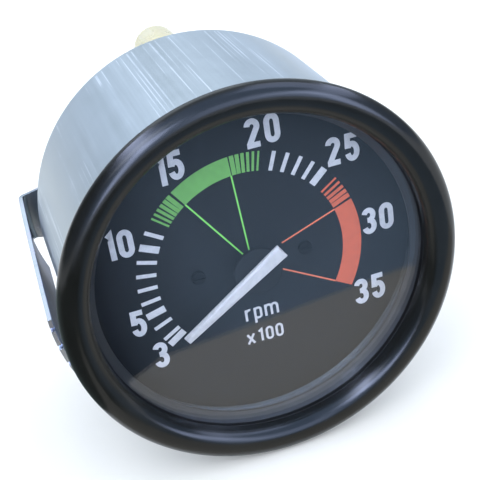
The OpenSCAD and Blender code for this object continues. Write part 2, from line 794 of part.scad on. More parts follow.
// Strap of zinc-plated steel bent into a U, which pulls the bezel against the panel. One revolved
// cup holds strap, bends, legs and spread feet, and what isn't strap or leg is cut away from it.
module clamp_bracket() {
    bend_at = [leg_in - bend_r, strap_y - bend_r];
    bend_out = bend_r + strap_t;
    half = strap_w / 2;
    wide = half + strap_swell;
    shoulder = stud_gap / 2 + strap_swell_l;
    far = leg_out + foot_flare + over;
    leg_top = 270 + asin(half / leg_mid);
    leg_end = leg_top - leg_w / leg_mid * 180 / PI;
    leg_low = 2 * far * [sin(leg_end), cos(leg_end)];
    foot_top = 270 + asin((half - leg_slope) / leg_mid);
    tooth_arc = (foot_top - leg_end) / tooth_n;
    strap_edge = [[-far, half], [-bend_at[0], half], [-shoulder, wide], [shoulder, wide],
        [bend_at[0], half], [far, half], [far, far], [-far, far]];
    color("#c3ccd6") difference() {
        spun() polygon(concat(
            [[0, strap_y]],
            oval(bend_at, bend_r, bend_r, 90, 0, fillet_n),
            [[leg_in + foot_flare, foot_y], [leg_out + foot_flare, foot_y]],
            oval(bend_at, bend_out, bend_out, 0, 90, fillet_n),
            [[0, strap_end]]));
        seen_from_front(foot_y - over, strap_end + over) polygon(strap_edge);
        seen_from_front(bend_at[1], strap_end + over) mirror([0, 1]) polygon(strap_edge);
        seen_from_front(foot_y - over, bend_at[1] + over)
            polygon([[0, 0], leg_low, [0, -4 * far], [-leg_low[0], leg_low[1]]]);
        translate([-far, 0, 0]) rotate([90, 0, 90]) linear_extrude(2 * far) polygon([
            [foot_y - over, half - leg_slope], [bend_at[1], half], [bend_at[1], far], [foot_y - over, far]]);
        for (side = [-1, 1]) {
            bar_y(strap_hole_r, strap_y - over, strap_end + over, side * stud_gap / 2);
            for (i = [1:tooth_n])
                clockwise(-side * (foot_top - tooth_arc * (i - 0.5))) box(
                    [-tooth_gap / 2, foot_y - over, leg_in - over],
                    [tooth_gap / 2, foot_y + tooth_deep, far]);
        }
    }
}

// Split spring washers under the nuts
module spring_washers()
    color("#b9bec4") for (side = [-1, 1])
        difference() {
            bar_y(washer_out, strap_end, strap_end + washer_t, side * stud_gap / 2);
            bar_y(washer_in, strap_end - over, strap_end + washer_t + over, side * stud_gap / 2);
            box([side * stud_gap / 2 - washer_slit / 2, strap_end - over, 0],
                [side * stud_gap / 2 + washer_slit / 2, strap_end + washer_t + over, washer_out + over]);
        }

// Knurled nut on one stud, with a collar towards the washer
module knurled_nut(side) {
    nut_r = nut_d / 2;
    head_y = nut_y + nut_collar_h;
    color("#c9cdd2") translate([side * stud_gap / 2, 0, 0]) difference() {
        spun(fn = medium_fn) polygon([
            [nut_bore_r, nut_y], [nut_collar_r, nut_y], [nut_collar_r, head_y],
            [nut_r - nut_edge, head_y], [nut_r, head_y + nut_edge],
            [nut_r, nut_end - nut_edge], [nut_r - nut_edge, nut_end], [nut_bore_r, nut_end]]);
        for (i = [0:knurl_n - 1])
            clockwise(i * 360 / knurl_n) translate([0, nut_end, nut_r]) rotate([0, 45, 0])
                cube([sqrt(2) * knurl_deep, 2 * nut_h, sqrt(2) * knurl_deep], center = true);
    }
}

module left_knurled_nut()
    knurled_nut(-1);

module right_knurled_nut()
    knurled_nut(1);

// Translucent plug that carries the lamp, pushed into the rear wall
module lamp_holder() {
    neck_y = case_depth + gap;
    head_y = neck_y + lamp_neck_l;
    color("#ece6c6") translate([lamp_x, 0, lamp_z]) difference() {
        spun(fn = medium_fn) polygon(concat(
            [[0, lamp_in_y], [lamp_r, lamp_in_y], [lamp_r, neck_y],
            [lamp_neck_r, neck_y], [lamp_neck_r, head_y]],
            oval([lamp_head_r - lamp_round, head_y + lamp_round], lamp_round, lamp_round, -90, 0, fillet_n),
            oval([lamp_head_r - lamp_edge, lamp_end_y - lamp_edge], lamp_edge, lamp_edge, 0, 90, fillet_n),
            [[0, lamp_end_y]]));
        bar_y(lamp_well_r, lamp_end_y - lamp_well_l, lamp_end_y + over);
        bar_y(socket_r, lamp_in_y - over, case_in_y - over);
        for (side = [-1, 1])
            translate([side * contact_at, lamp_end_y - lamp_well_l, 0])
                cube([contact_t, 2 * contact_root, contact_w], center = true);
    }
}

// Two contact tabs in the lamp holder's well
module lamp_contacts()
    color("#c8a24c") for (side = [-1, 1])
        translate([lamp_x + side * contact_at, lamp_end_y - lamp_well_l, lamp_z])
            box([-contact_t / 2, -contact_root, -contact_w / 2], [contact_t / 2, contact_l, contact_w / 2]);

// Small lamp with a wedge base
module lamp_bulb()
    color("#f2f4f2", 0.5) translate([lamp_x, 0, lamp_z]) spun(fn = small_fn) polygon(concat(
        [[0, bulb_base_y], [bulb_base_r, bulb_base_y], [bulb_base_r, lamp_in_y - gap],
        [bulb_r, bulb_y]],
        oval([0, bulb_y], bulb_r, bulb_r, 0, -90, fillet_n)));

bezel_ring();
panel_seal();
glass_disc();
glass_gasket();
mask_ring();
light_ring();
dial_plate();
dial_screws();
pointer();
pointer_hub();
spindle();
rotor_magnet();
stop_arm();
spring_collet();
hairspring();
spring_stud();
stop_pins();
front_former();
rear_former();
inner_coil();
outer_coil();
spindle_bushes();
shield_can();
dial_spacers();
movement_plate();
board_posts();
inner_frame();
circuit_board();
control_chip();
capacitors();
power_resistor();
trimmer_body();
trimmer_screw();
terminal_block();
terminal_blades();
case_cup();
case_screws();
mounting_studs();
clamp_bracket();
spring_washers();
left_knurled_nut();
right_knurled_nut();
lamp_holder();
lamp_contacts();
lamp_bulb();
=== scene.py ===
# %% [markdown]
# # A panel tachometer
# The instrument is a round gauge that looks out of a vehicle's panel: a rolled black bezel, flat glass, a dial
# with a white, green and red scale, a drawn steel case and a U-shaped clamp bracket on two studs.
# All its parts come from CAD and are already in place. This lesson gives them their looks, prints the dial, cuts
# the studs' threads and lights the instrument as on a photographer's table.

# %% Load the frame
import json
import math

import bmesh
import bpy
from mathutils import Matrix, Vector


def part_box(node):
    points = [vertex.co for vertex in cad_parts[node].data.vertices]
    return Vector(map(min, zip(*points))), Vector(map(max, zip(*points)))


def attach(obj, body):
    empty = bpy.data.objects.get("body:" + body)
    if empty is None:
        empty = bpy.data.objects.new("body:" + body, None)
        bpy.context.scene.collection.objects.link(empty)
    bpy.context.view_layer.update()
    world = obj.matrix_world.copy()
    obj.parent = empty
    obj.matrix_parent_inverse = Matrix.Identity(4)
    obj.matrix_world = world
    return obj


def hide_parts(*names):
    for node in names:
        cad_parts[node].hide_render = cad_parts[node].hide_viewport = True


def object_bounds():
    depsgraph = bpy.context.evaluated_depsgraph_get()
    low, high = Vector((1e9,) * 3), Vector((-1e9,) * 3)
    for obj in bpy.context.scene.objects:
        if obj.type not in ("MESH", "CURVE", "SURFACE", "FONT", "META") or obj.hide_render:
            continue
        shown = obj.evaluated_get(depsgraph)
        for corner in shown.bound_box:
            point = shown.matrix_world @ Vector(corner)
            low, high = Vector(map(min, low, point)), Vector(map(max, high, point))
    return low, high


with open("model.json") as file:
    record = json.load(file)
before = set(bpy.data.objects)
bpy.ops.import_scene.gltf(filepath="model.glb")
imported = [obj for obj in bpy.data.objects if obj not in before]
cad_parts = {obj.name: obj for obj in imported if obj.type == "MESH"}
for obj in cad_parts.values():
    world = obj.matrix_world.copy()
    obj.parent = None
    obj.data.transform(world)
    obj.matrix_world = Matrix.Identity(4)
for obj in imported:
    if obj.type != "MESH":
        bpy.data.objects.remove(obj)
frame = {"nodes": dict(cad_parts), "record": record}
cad_box = [list(corner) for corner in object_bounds()]
print("CAD nodes:", len(frame["nodes"]), "box in mm:", [[round(1000 * x, 1) for x in c] for c in cad_box])

# %% [markdown]
# ## Units and the camera
# CAD works in millimetres and Blender in metres, so one name holds the step between them.
# The camera stands at the upper left of the instrument and looks down at the dial. Its place and its lens come
# from fitting the scale's ticks and the bezel's outline, so it is given as three directions: to the right of the
# picture, up the picture and ahead.

# %% The camera
MM = 0.001
picture_right = Vector((0.94305, -0.30024, -0.14319))
picture_up = Vector((0.26497, 0.41780, 0.86904))
ahead = Vector((0.20110, 0.85750, -0.47356))
camera_place = (-0.05901, -0.23259, 0.14106)
lens_mm, sensor_mm = 80.09, 36


def put_in_scene(name, data):
    """A new object of this name in the scene."""
    made = bpy.data.objects.new(name, data)
    bpy.context.scene.collection.objects.link(made)
    return made


camera_data = bpy.data.cameras.new("table_camera")
camera_data.sensor_width = sensor_mm
camera_data.lens = lens_mm
camera = put_in_scene("table_camera", camera_data)
columns = Matrix((picture_right, picture_up, -ahead)).transposed()
camera.matrix_world = Matrix.Translation(camera_place) @ columns.to_4x4()
bpy.context.scene.camera = camera
bpy.context.scene.view_settings.view_transform = "Standard"
print("camera looks along", [round(x, 3) for x in ahead], "with a lens of", camera_data.lens, "mm")

# %% [markdown]
# ## Building node trees
# Materials and Geometry Nodes are both trees of nodes. One small helper adds a node, sets what is on it and joins
# its inputs, so that the later cells read as recipes. It returns the node's outputs. The others are steps that
# nearly every tree needs: sums, a range, the parts of a vector.

# %% Helpers for nodes
def step(tree, kind, wires=None, **settings):
    """Adds one node; wires maps an input's name or number to a value or to another node's output."""
    node = tree.nodes.new(kind)
    node.location = (190 * len(tree.nodes), 0)
    for name, value in settings.items():
        setattr(node, name, value)
    for name, value in (wires or {}).items():
        if isinstance(value, bpy.types.NodeSocket):
            tree.links.new(value, node.inputs[name])
        else:
            node.inputs[name].default_value = value
    return node.outputs


def maths(tree, operation, first, second=0.0):
    """One sum on numbers, whose inputs may be values or outputs."""
    return step(tree, "ShaderNodeMath", {0: first, 1: second}, operation=operation)[0]


def plus(tree, first, second):
    return maths(tree, "ADD", first, second)


def minus(tree, first, second):
    return maths(tree, "SUBTRACT", first, second)


def times(tree, first, second):
    return maths(tree, "MULTIPLY", first, second)


def between(tree, pattern, low, high, start=0.3, end=0.7):
    """A number that goes from low to high as the pattern goes from start to end."""
    return step(tree, "ShaderNodeMapRange",
                {"Value": pattern, "From Min": start, "From Max": end, "To Min": low, "To Max": high})[0]


def apart(tree, vector):
    """The x, y and z of a vector."""
    return step(tree, "ShaderNodeSeparateXYZ", {0: vector})


def own_place(tree):
    """In a material: the place in the object's own coordinates."""
    return step(tree, "ShaderNodeTexCoord")["Object"]


def ramp(tree, pattern, stops):
    """A colour that follows a pattern; each stop is (place, colour)."""
    node = tree.nodes.new("ShaderNodeValToRGB")
    tree.links.new(pattern, node.inputs["Fac"])
    while len(node.color_ramp.elements) < len(stops):
        node.color_ramp.elements.new(1.0)
    for element, (place, colour) in zip(node.color_ramp.elements, stops):
        element.position = place
        element.color = (*colour, 1)
    return node.outputs["Color"]


# %% [markdown]
# ## How a finish is built
# Each finish starts as one Principled shader. Then it gets layers, as a painter would add them: clouds of two
# colours, patches of more or less gloss, and relief from a height pattern. Every pattern is placed in the
# object's own coordinates, in millimetres along each axis, so it stays on the part when the camera moves.

# %% Helpers for finishes
def shader_of(material):
    """The Principled shader of a finish."""
    return material.node_tree.nodes["Principled BSDF"]


def new_finish(name, colour, roughness, metallic=0.0, **more):
    """A material with one Principled shader; more sets its sockets that are the same all over."""
    material = bpy.data.materials.new(name)
    material.use_nodes = True
    inputs = shader_of(material).inputs
    inputs["Base Color"].default_value = (*colour, 1)
    inputs["Roughness"].default_value = roughness
    inputs["Metallic"].default_value = metallic
    for socket, value in more.items():
        inputs[socket.replace("_", " ")].default_value = value
    return material


def grain(material, size_mm, detail=5.0, rough=0.55):
    """Noise whose blots are size_mm wide, or three such widths along x, y and z."""
    tree = material.node_tree
    scale = [1 / MM / size for size in (size_mm if isinstance(size_mm, tuple) else (size_mm,) * 3)]
    scaled = step(tree, "ShaderNodeMapping", {"Vector": own_place(tree), "Scale": scale})[0]
    return step(tree, "ShaderNodeTexNoise",
                {"Vector": scaled, "Scale": 1.0, "Detail": detail, "Roughness": rough})["Fac"]


def paint(material, pattern, *stops):
    """Colours the material by a pattern; each stop is (place, colour)."""
    tree = material.node_tree
    tree.links.new(ramp(tree, pattern, stops), shader_of(material).inputs["Base Color"])


def gloss(material, pattern, low, high, start=0.3, end=0.7):
    """Lets the roughness follow a pattern."""
    tree = material.node_tree
    tree.links.new(between(tree, pattern, low, high, start, end), shader_of(material).inputs["Roughness"])


def clouds(material, size_mm, detail, dull, *stops, rough=0.55):
    """One noise for colour and gloss; dull is the roughness at its two ends. Returns the noise."""
    noise = grain(material, size_mm, detail, rough)
    paint(material, noise, *stops)
    gloss(material, noise, *dull)
    return noise


def relief(material, pattern, height_mm, strength=1.0):
    """Adds a bump whose heights follow a pattern, on top of any bump that is there."""
    tree = material.node_tree
    normal = shader_of(material).inputs["Normal"]
    wires = {"Height": pattern, "Strength": strength, "Distance": height_mm * MM}
    if normal.is_linked:
        wires["Normal"] = normal.links[0].from_socket
    tree.links.new(step(tree, "ShaderNodeBump", wires)[0], normal)


# %% [markdown]
# ## Black paint of the bezel
# The bezel is pressed from sheet steel and stoved with satin black paint. Such paint is never quite even: it has
# a fine orange peel, a touch of dust and places that hands have polished. Two fine noises make the relief and a
# larger one the gloss.

# %% Satin black paint
black_paint = new_finish("satin_black_paint", (0.006, 0.0065, 0.006), 0.2, Specular_IOR_Level=0.33)
peel, dust = grain(black_paint, 0.7, detail=3), grain(black_paint, 0.25, detail=2)
clouds(black_paint, (14, 9, 14), 6, (0.16, 0.25),
       (0.3, (0.005, 0.0054, 0.0048)), (0.72, (0.0072, 0.0077, 0.007)))
relief(black_paint, peel, 0.002)
relief(black_paint, dust, 0.0015)
print("finish:", black_paint.name)

# %% [markdown]
# ## Galvanized steel of the case
# The case is deep drawn from galvanized sheet. The die leaves long fine lines down the wall, parallel to the
# axis, and paler streaks where the zinc has been rubbed. The pattern is noise stretched along the axis, at two
# widths, with soft spots between. Sparse bright scratches come from a finer noise cut off near its top, and a
# wider one gathers them in patches. They stop where the wall ends, or they would cover the rear face with specks.

# %% Galvanized steel
galvanized = new_finish("galvanized_steel", (0.4, 0.44, 0.48), 0.42, metallic=0.8)
wall_end = 59.5 * MM
broad = grain(galvanized, (13, 260, 13), detail=2)
lines = grain(galvanized, (0.9, 70, 0.9), detail=4, rough=0.6)
spots = grain(galvanized, (7, 9, 7), detail=6, rough=0.6)
fine = grain(galvanized, (0.5, 100, 0.5), detail=0)
gathered = grain(galvanized, (14, 60, 14), detail=2)
tree = galvanized.node_tree
streaks = plus(tree, times(tree, broad, 0.45), times(tree, lines, 0.35))
streaks = plus(tree, streaks, times(tree, spots, 0.2))
on_wall = maths(tree, "LESS_THAN", apart(tree, own_place(tree))["Y"], wall_end)
scratches = times(tree, between(tree, fine, 0, 0.2, 0.66, 0.74), on_wall)
marked = plus(tree, streaks, times(tree, scratches, between(tree, gathered, 0, 1, 0.42, 0.54)))
paint(galvanized, marked, (0.36, (0.315, 0.362, 0.385)), (0.47, (0.35, 0.395, 0.42)),
      (0.58, (0.385, 0.43, 0.45)), (0.7, (0.54, 0.58, 0.6)))
gloss(galvanized, marked, 0.36, 0.5, 0.38, 0.62)
relief(galvanized, lines, 0.006, 0.6)
relief(galvanized, scratches, 0.015, 0.4)
print("finish:", galvanized.name)

# %% [markdown]
# ## Bright zinc of the bracket, nuts and studs
# These parts are barrel plated with zinc and passivated, which gives a bright, slightly blue metal with faint
# violet and straw clouds. Soft clouds of those colours over a smooth metal make it, with small dents from the
# barrel. The inner faces of the bracket's legs are darkened and turned violet as painted shade, and made duller.
# A face is an inner one when it lies in front of the bend and is as near the instrument's axis as the legs'
# inner side. The legs spread like a cone, so the radius is first corrected by how far the place is from where
# the spread starts.

# %% Bright zinc plate
spread_start, bend_start = 70.4 * MM, 71.5 * MM
spread_slope = 0.0271
leg_inside_r = 53.35 * MM


def zinc(name, roughness, painted_shade_r=0.0):
    """Zinc plate; if a radius is given, faces nearer the axis than that get painted shade: darker, violet, duller.
    """
    material = new_finish(name, (0.6, 0.66, 0.74), roughness, metallic=1.0)
    tree = material.node_tree
    tints_and_painted_shade = plus(tree, times(tree, grain(material, (7, 9, 7), detail=4), 0.5), 0.45)
    gleam = between(tree, tints_and_painted_shade, roughness - 0.05, roughness + 0.07, 0.6, 0.8)
    # Painted shade: the legs' inner faces are made darker and violet, and duller.
    if painted_shade_r:
        x, y, z = apart(tree, own_place(tree))
        squares = plus(tree, times(tree, x, x), times(tree, z, z))
        spread = times(tree, minus(tree, spread_start, y), spread_slope)
        radius = minus(tree, maths(tree, "SQRT", squares), spread)
        painted_shade_face = times(tree, maths(tree, "LESS_THAN", radius, painted_shade_r),
                       maths(tree, "LESS_THAN", y, bend_start))
        tints_and_painted_shade = minus(tree, tints_and_painted_shade, times(tree, painted_shade_face, 0.55))
        gleam = plus(tree, gleam, times(tree, painted_shade_face, 0.3))
    # The stops at 0.0 and 0.25 are reached only on the inner faces and hold the painted shade's dark violet.
    paint(material, tints_and_painted_shade, (0.0, (0.1, 0.108, 0.15)), (0.25, (0.26, 0.285, 0.36)), (0.6, (0.31, 0.345, 0.39)),
          (0.68, (0.38, 0.415, 0.44)), (0.75, (0.39, 0.4, 0.455)), (0.82, (0.43, 0.43, 0.43)))
    tree.links.new(gleam, shader_of(material).inputs["Roughness"])
    relief(material, grain(material, 1.1, detail=3), 0.012, 0.5)
    return material


zinc_strap = zinc("zinc_plated_strap", 0.24, leg_inside_r)
zinc_turned = zinc("zinc_plated_turning", 0.2)
print("finishes:", zinc_strap.name, zinc_turned.name)

# %% [markdown]
# ## Turned steel and brass of the movement
# The spindle, posts, spacers, washers and the screening can are plain steel, the bushes, arm, collet and plate
# are brass. Turning leaves rings and sawing leaves lines, both finer than the eye can part, so a fine noise
# squeezed along one axis is enough, and brass gets darker fingerprints.

# %% Steel and brass
plain_steel = new_finish("turned_steel", (0.55, 0.56, 0.58), 0.28, metallic=1.0)
rings = grain(plain_steel, (3, 0.12, 3), detail=4)
paint(plain_steel, grain(plain_steel, 4), (0.3, (0.45, 0.46, 0.48)), (0.7, (0.64, 0.64, 0.65)))
gloss(plain_steel, rings, 0.22, 0.38)
relief(plain_steel, rings, 0.008, 0.6)

brass = new_finish("sawn_brass", (0.7, 0.5, 0.22), 0.3, metallic=1.0)
clouds(brass, 2.5, 7, (0.22, 0.42),
       (0.3, (0.5, 0.33, 0.13)), (0.5, (0.7, 0.5, 0.22)), (0.75, (0.8, 0.62, 0.32)))
relief(brass, grain(brass, (0.15, 3, 0.15), detail=4), 0.008, 0.6)

magnet_grey = new_finish("sintered_magnet", (0.09, 0.09, 0.095), 0.62, metallic=0.4)
pores = grain(magnet_grey, 0.25, detail=4)
paint(magnet_grey, pores, (0.3, (0.05, 0.05, 0.055)), (0.7, (0.14, 0.14, 0.145)))
relief(magnet_grey, pores, 0.02)
print("finishes:", plain_steel.name, brass.name, magnet_grey.name)

# %% [markdown]
# ## Enamelled copper of the coils
# Each coil is many turns of thin enamelled wire. The turns run round the former, so lines along the winding show
# side by side. A wave pattern gives the turns and a noise gives the enamel its uneven amber.

# %% Copper windings
def winding_finish(name, across):
    """Copper wire laid side by side; across is the axis over which the turns repeat."""
    material = new_finish(name, (0.5, 0.2, 0.08), 0.3, metallic=0.9, Coat_Weight=0.6, Coat_Roughness=0.12)
    tree = material.node_tree
    turns = step(tree, "ShaderNodeTexWave", {
        "Vector": own_place(tree), "Scale": 1300.0, "Distortion": 0.6, "Detail": 1.0, "Detail Scale": 300.0},
        bands_direction=across)["Fac"]
    clouds(material, 3, 5, (0.24, 0.4), (0.3, (0.42, 0.15, 0.05)), (0.7, (0.66, 0.3, 0.12)))
    relief(material, turns, 0.06)
    return material


copper_flat = winding_finish("enamelled_copper_inner", "X")
copper_tall = winding_finish("enamelled_copper_outer", "Z")
print("finishes:", copper_flat.name, copper_tall.name)

# %% [markdown]
# ## Rubber and moulded plastics
# The seal and the gasket are matt rubber, the mask ring and the terminal block a hard black moulding, and the
# formers and the frame a natural white one. Mouldings carry the spark-eroded grain of their mould: a fine even
# relief. Rubber is greyer where it is dusty, and has no clear highlight. The pointer's hub and the blackened dial
# screws hardly shine, so they have the same recipe with less of a mirror.

# %% Rubber and mouldings
def moulding(name, colour, roughness, grain_mm=0.35, height_mm=0.012, **more):
    """Moulded plastic with the mould's grain and slightly uneven colour."""
    material = new_finish(name, colour, roughness, **more)
    clouds(material, 6, 4, (roughness - 0.06, roughness + 0.07),
           (0.3, [0.82 * c for c in colour]), (0.7, [min(1, 1.16 * c) for c in colour]))
    relief(material, grain(material, grain_mm, detail=2), height_mm, 0.7)
    return material


black_rubber = moulding("matt_rubber", (0.016, 0.016, 0.017), 0.72, 0.5, 0.02)
black_moulding = moulding("black_moulding", (0.014, 0.014, 0.0145), 0.46)
white_moulding = moulding("natural_white_moulding", (0.66, 0.63, 0.54), 0.42, Subsurface_Weight=0.1)
shader_of(white_moulding).inputs["Subsurface Radius"].default_value = (0.002, 0.0016, 0.001)
hub_black = moulding("hub_moulding", (0.006, 0.0066, 0.0072), 0.62, 0.3, 0.002, Specular_IOR_Level=0.15)
screw_black = moulding("blackened_screw", (0.003, 0.0033, 0.0036), 0.6, 0.3, 0.002, Specular_IOR_Level=0.1)
chip_black = moulding("chip_package", (0.022, 0.022, 0.024), 0.55, 0.2, 0.02)
cement = moulding("cemented_resistor", (0.42, 0.38, 0.3), 0.75, 0.4, 0.04)
blue_moulding = moulding("blue_adjuster", (0.03, 0.1, 0.32), 0.35)
sleeve_blue = moulding("capacitor_sleeve", (0.02, 0.05, 0.2), 0.25, 0.6, 0.004)
print("mouldings:", black_rubber.name, black_moulding.name, white_moulding.name, hub_black.name)

# %% [markdown]
# ## The cream lamp holder
# The lamp holder is a translucent cream plastic that has yellowed from the lamp's heat. Light goes into it and
# comes out elsewhere, which subsurface scattering does, and the yellow is stronger in clouds.

# %% Cream plastic
cream = new_finish("cream_plastic", (0.8, 0.72, 0.46), 0.28, Subsurface_Weight=0.35, Subsurface_Scale=1.0)
shader_of(cream).inputs["Subsurface Radius"].default_value = (0.0035, 0.003, 0.0015)
clouds(cream, (5, 8, 5), 4, (0.22, 0.36), (0.3, (0.62, 0.59, 0.44)), (0.7, (0.56, 0.52, 0.34)))
relief(cream, grain(cream, 0.5, detail=2), 0.01, 0.5)
print("finish:", cream.name)

# %% [markdown]
# ## Glass and clear plastic
# Real glass has two faces, so both reflect and the sheet bends the view a little. A renderer finds hardly any
# light through such glass by chance, so rays that only ask for shadow pass straight through it. The Light Path
# node tells which rays those are. Wiped glass keeps faint smears, which change only the gloss.

# %% Clear finishes
def clear(name, tint, low, high, smear_mm):
    """A clear material that lets the shadow rays through."""
    material = new_finish(name, tint, low, Transmission_Weight=1.0, IOR=1.5)
    gloss(material, grain(material, smear_mm, detail=5), low, high, 0.45, 0.75)
    tree = material.node_tree
    path = step(tree, "ShaderNodeLightPath")["Is Shadow Ray"]
    through = step(tree, "ShaderNodeBsdfTransparent", {"Color": (*tint, 1)})[0]
    mixed = step(tree, "ShaderNodeMixShader", {0: path, 1: shader_of(material).outputs[0], 2: through})[0]
    tree.links.new(mixed, tree.nodes["Material Output"].inputs["Surface"])
    return material


flat_glass = clear("flat_glass", (0.97, 0.985, 0.98), 0.0, 0.03, (26, 5, 11))
light_guide = clear("acrylic_light_guide", (0.93, 0.95, 0.96), 0.06, 0.2, 3)
bulb_glass = clear("lamp_glass", (0.95, 0.95, 0.93), 0.02, 0.08, 2)
print("clear finishes:", flat_glass.name, light_guide.name, bulb_glass.name)

# %% [markdown]
# ## The circuit board and the tinned blades
# The board is glass cloth under green lacquer, with copper tracks that show through as paler bands. Blocks from
# a Voronoi pattern measured in straight steps look like tracks. The terminal blades are tinned brass, soft and
# scratched along their length by the sockets that were pushed on.

# %% Board and blades
board_green = new_finish("lacquered_board", (0.02, 0.12, 0.04), 0.35, Coat_Weight=0.5)
tree = board_green.node_tree
tracks = step(tree, "ShaderNodeTexVoronoi", {"Vector": own_place(tree), "Scale": 260.0, "Randomness": 0.55},
              feature="F1", distance="CHEBYCHEV")["Distance"]
paint(board_green, tracks, (0.34, (0.015, 0.1, 0.035)), (0.37, (0.05, 0.19, 0.06)), (0.6, (0.05, 0.19, 0.06)))
relief(board_green, between(tree, tracks, 0, 1, 0.33, 0.38), 0.035)
relief(board_green, grain(board_green, 0.6), 0.01)

tinned = new_finish("tinned_brass", (0.62, 0.63, 0.64), 0.3, metallic=1.0)
rubbed = clouds(tinned, (0.3, 9, 0.3), 5, (0.2, 0.42),
                (0.3, (0.5, 0.5, 0.52)), (0.6, (0.68, 0.68, 0.69)), (0.78, (0.72, 0.62, 0.42)))
relief(tinned, rubbed, 0.015, 0.6)
print("finishes:", board_green.name, tinned.name)

# %% [markdown]
# ## The dial's ground and its inks
# The dial is a sheet of aluminium with a screen-printed matt black ground. White, green and red inks lie on it as
# a film that stands up a few hundredths of a millimetre. Ink has tiny pinholes and is not quite one tone. The
# four thin lines are printed in brighter green and red than the bands, so that they still tell at that width.

# %% Ground and inks
dial_black = new_finish("dial_ground", (0.008, 0.009, 0.01), 0.7, Specular_IOR_Level=0.15)
clouds(dial_black, 12, 6, (0.62, 0.8),
       (0.3, (0.0065, 0.0075, 0.0085)), (0.7, (0.0105, 0.0115, 0.0125)))
relief(dial_black, grain(dial_black, 0.3, detail=2), 0.0015, 0.5)


def ink(name, colour):
    """A printed film: nearly even colour, a little mottled, with a fine tooth."""
    material = new_finish(name, colour, 0.5)
    clouds(material, 1.6, 7, (0.42, 0.6), (0.28, [0.86 * c for c in colour]),
           (0.66, [min(1, 1.06 * c) for c in colour]), rough=0.65)
    relief(material, grain(material, 0.2, detail=2), 0.004, 0.6)
    return material


white_ink = ink("white_ink", (0.7, 0.65, 0.62))
green_ink = ink("green_ink", (0.16, 0.43, 0.07))
red_ink = ink("red_ink", (0.73, 0.12, 0.04))
line_green = ink("line_green", (0.27, 0.78, 0.11))
line_red = ink("line_red", (0.92, 0.2, 0.08))
pointer_white = ink("pointer_lacquer", (0.68, 0.62, 0.58))
print("inks:", white_ink.name, green_ink.name, red_ink.name, pointer_white.name)

# %% [markdown]
# ## One finish for each CAD node
# Every CAD node gets its finish by name. The list goes by finish, and the last line tells whether a node was left
# with a plain colour.

# %% Dress the CAD nodes
dressed = set()
for material, nodes in (
        (black_paint, "bezel_ring"), (black_rubber, "panel_seal glass_gasket"), (flat_glass, "glass_disc"),
        (black_moulding, "mask_ring terminal_block"), (light_guide, "light_ring"), (dial_black, "dial_plate"),
        (screw_black, "dial_screws"), (pointer_white, "pointer"), (hub_black, "pointer_hub"),
        (plain_steel, "spindle hairspring stop_pins shield_can dial_spacers board_posts spring_washers"),
        (brass, "stop_arm spring_collet spring_stud spindle_bushes movement_plate lamp_contacts"),
        (magnet_grey, "rotor_magnet"), (copper_flat, "inner_coil"), (copper_tall, "outer_coil"),
        (white_moulding, "front_former rear_former inner_frame trimmer_screw"),
        (board_green, "circuit_board"), (chip_black, "control_chip"), (sleeve_blue, "capacitors"),
        (cement, "power_resistor"), (blue_moulding, "trimmer_body"), (tinned, "terminal_blades"),
        (galvanized, "case_cup"), (zinc_turned, "case_screws mounting_studs left_knurled_nut right_knurled_nut"),
        (zinc_strap, "clamp_bracket"), (cream, "lamp_holder"), (bulb_glass, "lamp_bulb")):
    for node in nodes.split():
        mesh = frame["nodes"][node].data
        mesh.materials.clear()
        mesh.materials.append(material)
        dressed.add(node)
print("dressed", len(dressed), "nodes; undressed:", sorted(set(frame["nodes"]) - dressed))

# %% [markdown]
# ## Smooth copies of the round parts
# The CAD nodes come as loose triangles, each shaded flat, so a turned part shows facets in its highlights. A
# merged copy can be shaded smooth across gentle edges and stay crisp at sharp ones. The copy takes the node's
# place and its body. Flat neighbours are joined first, so that a small bevel can run along the edges
# and catch the light.

# %% Smooth copies
body_of_node = {node: body for body, group in frame["record"]["behaviour"]["bodies"].items() for node in group}
merge_mm, flat_degrees = 0.002, 0.4


def shade_smooth(mesh, sharp_degrees):
    """Smooth shading, except across edges that are sharper than the angle."""
    for face in mesh.polygons:
        face.use_smooth = True
    mesh.set_sharp_from_angle(angle=math.radians(sharp_degrees))


def smooth_copy(node, edge_mm=0.0, sharp_degrees=32):
    """A merged, smooth-shaded copy of a CAD node, with rounded edges if edge_mm is given."""
    mesh = frame["nodes"][node].data.copy()
    work = bmesh.new()
    work.from_mesh(mesh)
    bmesh.ops.remove_doubles(work, verts=work.verts, dist=merge_mm * MM)
    bmesh.ops.dissolve_limit(work, angle_limit=math.radians(flat_degrees), verts=work.verts, edges=work.edges)
    work.to_mesh(mesh)
    work.free()
    mesh.name = node + "_smooth"
    piece = put_in_scene(node + "_smooth", mesh)
    if edge_mm:
        bevel = piece.modifiers.new("edges", "BEVEL")
        bevel.width = edge_mm * MM
        bevel.segments = 2
        bevel.limit_method = "ANGLE"
        bevel.angle_limit = math.radians(sharp_degrees)
    shade_smooth(mesh, sharp_degrees)
    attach(piece, body_of_node[node])
    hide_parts(node)
    return piece


round_parts = ("bezel_ring panel_seal glass_gasket mask_ring case_cup dial_screws lamp_contacts case_screws "
               "spring_washers trimmer_screw shield_can light_ring lamp_bulb capacitors movement_plate").split()
edges_mm = {"clamp_bracket": 0.16, "left_knurled_nut": 0.08, "right_knurled_nut": 0.08, "lamp_holder": 0.12,
            "terminal_block": 0.2, "terminal_blades": 0.1}
for node in round_parts + list(edges_mm):
    piece = smooth_copy(node, edges_mm.get(node, 0.0))
    print(piece.name, len(piece.data.polygons), "faces")

# %% [markdown]
# ## Printing the dial with Geometry Nodes
# A scale is a rule: so many marks, from one angle, by one step, between two circles. A Geometry Nodes tree can
# hold that rule and be used again for each run of marks, with other numbers. First come helpers that open a
# tree with named inputs, set them on a modifier by their identifiers, and turn the result into a plain mesh.
# All the rules here go round an axis, so one helper turns a radius and an angle into a place.

